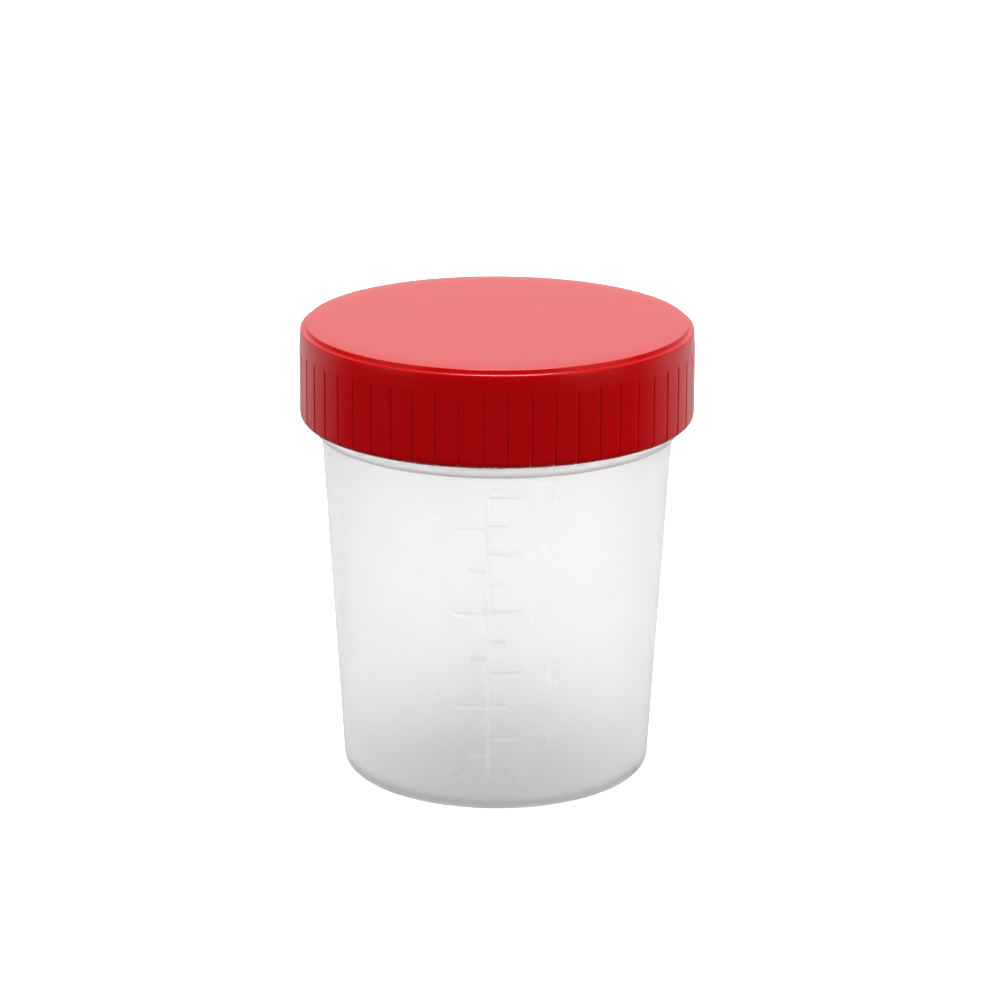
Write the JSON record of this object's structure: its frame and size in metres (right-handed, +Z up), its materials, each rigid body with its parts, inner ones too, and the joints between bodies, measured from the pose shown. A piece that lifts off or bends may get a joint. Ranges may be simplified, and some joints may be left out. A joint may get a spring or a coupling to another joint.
{
  "type": "specimen container",
  "caption": "Tapered translucent specimen cup with a raised volume scale, a collar under the neck, and a ribbed red screw cap.",
  "frame": {"origin": "centre of the ring that the cup stands on, at table height", "axes": "+Z up the axis of the cup, -Y towards the side with the volume scale"},
  "size_m": [0.062, 0.062, 0.0728],
  "materials": {
    "milky_polypropylene": "translucent satin moulding",
    "red_plastic": "satin gloss moulding"
  },
  "bodies": {
    "container": {"cup": "milky_polypropylene"},
    "closure": {"screw_cap": "red_plastic"}
  },
  "joints": [
    {"name": "cap_lift", "type": "slide", "parent": "container", "child": "closure", "axis": [0, 0, 1], "range_m": [0, 0.045]}
  ]
}
